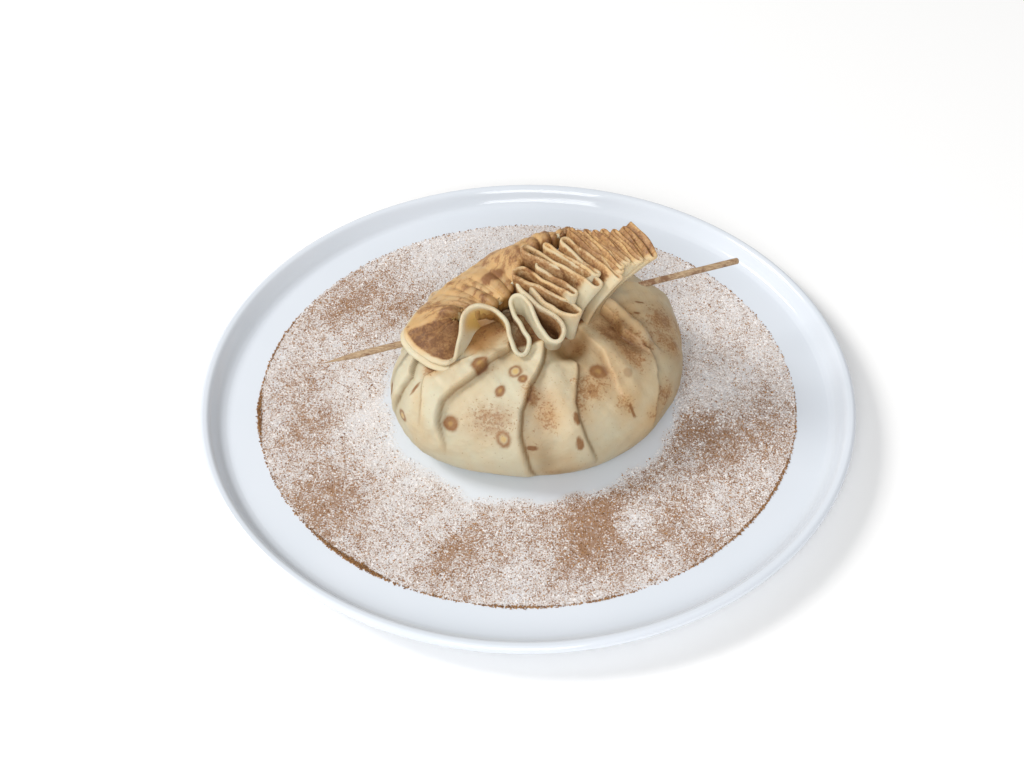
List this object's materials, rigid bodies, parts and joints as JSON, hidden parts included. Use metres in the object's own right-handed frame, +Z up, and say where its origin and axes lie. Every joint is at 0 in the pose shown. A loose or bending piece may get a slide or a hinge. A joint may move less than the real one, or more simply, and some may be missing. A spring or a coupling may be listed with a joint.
{
  "type": "crepe",
  "caption": "Crepe gathered into a purse with a ruffled top, pinned with a skewer, on a round upturned-rim plate dusted with cocoa and sugar.",
  "frame": {"origin": "under the middle of the plate, at the level it stands on", "axes": "+Z up through the plate's middle, +X to the right and +Y to the back as the plate is served; the skewer's blunt end points to +X and a little to +Y"},
  "size_m": [0.3, 0.3, 0.0867],
  "materials": {
    "plate": "glossy white glaze",
    "crepe": "matt, soft",
    "skewer": "plain, unvarnished"
  },
  "bodies": {
    "root": {"plate": "plate", "crepe": "crepe", "skewer": "skewer"}
  },
  "joints": []
}
